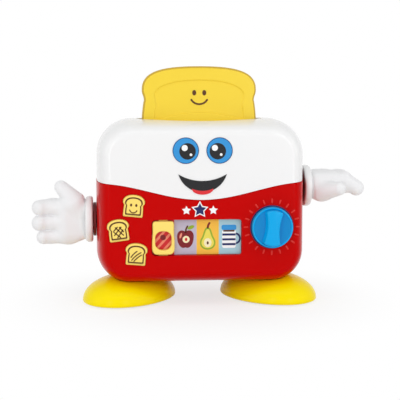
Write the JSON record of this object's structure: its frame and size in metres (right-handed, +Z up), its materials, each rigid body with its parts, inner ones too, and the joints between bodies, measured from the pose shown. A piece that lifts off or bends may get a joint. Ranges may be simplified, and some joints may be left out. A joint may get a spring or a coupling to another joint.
{
  "type": "toy toaster",
  "caption": "Toy toaster on two feet with a slice of toast that a lever lowers, hands that turn, a picture slider, bread buttons, a timer knob and a friendly face.",
  "frame": {"origin": "middle of the footprint, on the surface that the feet stand on", "axes": "+X to the right across the front, +Y from the front to the back, +Z up"},
  "size_m": [0.3096, 0.103, 0.2155],
  "materials": {
    "white_plastic": "gloss",
    "red_plastic": "gloss",
    "dark_red_plastic": "satin",
    "toast_plastic": "satin",
    "yellow_plastic": "gloss",
    "bread_plastic": "satin",
    "blue_plastic": "satin",
    "hand_plastic": "satin",
    "grey_plastic": "satin",
    "black_plastic": "matte",
    "circuit_board": "satin",
    "dark_print": "gloss",
    "eye_print": "gloss",
    "picture_print": "gloss",
    "key_rubber": "matte",
    "cell_wrap": "satin",
    "steel": "brushed",
    "wire_cover": "satin"
  },
  "bodies": {
    "casing": {"front_upper_shell": "white_plastic", "front_lower_shell": "red_plastic", "rear_upper_shell": "white_plastic", "rear_lower_shell": "red_plastic", "case_screw_1": "steel", "case_screw_2": "steel", "case_screw_3": "steel", "case_screw_4": "steel", "case_screw_5": "steel", "case_screw_6": "steel", "left_eye_label": "eye_print", "right_eye_label": "eye_print", "smile_label": "dark_print", "star_badge": "dark_print", "toast_well": "white_plastic", "left_guide_rod": "steel", "right_guide_rod": "steel", "left_return_spring": "steel", "right_return_spring": "steel", "left_shoulder_disc": "dark_red_plastic", "left_foot": "yellow_plastic", "right_foot": "yellow_plastic", "left_foot_screw": "steel", "right_foot_screw": "steel", "picture_tray": "red_plastic", "picture_strip": "picture_print", "slider_board": "circuit_board", "button_membrane": "key_rubber", "button_board": "circuit_board", "knob_detent_spring": "steel", "battery_box": "black_plastic", "battery_cell_1": "cell_wrap", "battery_cell_2": "cell_wrap", "battery_cell_3": "cell_wrap", "left_battery_contact": "steel", "right_battery_contact": "steel", "battery_door": "red_plastic", "battery_door_screw": "steel", "speaker": "black_plastic", "main_board": "circuit_board", "battery_wire": "wire_cover", "speaker_wire": "wire_cover"},
    "toast_lift": {"toast_carriage": "grey_plastic", "toast_slice": "toast_plastic", "lever_shaft": "grey_plastic", "right_shoulder_disc": "dark_red_plastic"},
    "right_arm": {"right_cuff": "white_plastic", "right_hand": "hand_plastic"},
    "left_arm": {"left_arm_shaft": "grey_plastic", "left_cuff": "white_plastic", "left_hand": "hand_plastic"},
    "knob": {"timer_knob": "blue_plastic", "knob_detent_wheel": "grey_plastic", "knob_screw": "steel"},
    "slider": {"picture_slider": "bread_plastic", "slider_bridge": "black_plastic"},
    "smile_key": {"smile_button": "bread_plastic"},
    "lattice_key": {"lattice_button": "bread_plastic"},
    "stripe_key": {"stripe_button": "bread_plastic"},
    "power_switch": {"power_slider": "black_plastic"}
  },
  "joints": [
    {"name": "lever_slide", "type": "slide", "parent": "casing", "child": "toast_lift", "axis": [0, 0, -1], "range_m": [0, 0.032], "stiffness_N_per_m": 60, "springref_m": -0.055, "deforming": ["left_return_spring", "right_return_spring"]},
    {"name": "right_hand_turn", "type": "hinge", "parent": "toast_lift", "child": "right_arm", "pos_m": [0.106, 0.0047, 0.1049], "axis": [1, 0, 0], "range_deg": [-180, 0]},
    {"name": "left_hand_turn", "type": "hinge", "parent": "casing", "child": "left_arm", "pos_m": [-0.106, 0.0047, 0.0754], "axis": [1, 0, 0], "range_deg": [-90, 90]},
    {"name": "knob_turn", "type": "hinge", "parent": "casing", "child": "knob", "pos_m": [0.0624, -0.04, 0.0724], "axis": [0, 1, 0], "continuous": true},
    {"name": "picture_slide", "type": "slide", "parent": "casing", "child": "slider", "axis": [1, 0, 0], "range_m": [0, 0.06]},
    {"name": "smile_press", "type": "slide", "parent": "casing", "child": "smile_key", "axis": [0, 1, 0], "range_m": [0, 0.0022], "stiffness_N_per_m": 250, "springref_m": -0.002},
    {"name": "lattice_press", "type": "slide", "parent": "casing", "child": "lattice_key", "axis": [0, 1, 0], "range_m": [0, 0.0022], "stiffness_N_per_m": 250, "springref_m": -0.002},
    {"name": "stripe_press", "type": "slide", "parent": "casing", "child": "stripe_key", "axis": [0, 1, 0], "range_m": [0, 0.0022], "stiffness_N_per_m": 250, "springref_m": -0.002},
    {"name": "power_switch_slide", "type": "slide", "parent": "casing", "child": "power_switch", "axis": [1, 0, 0], "range_m": [0, 0.004]}
  ]
}
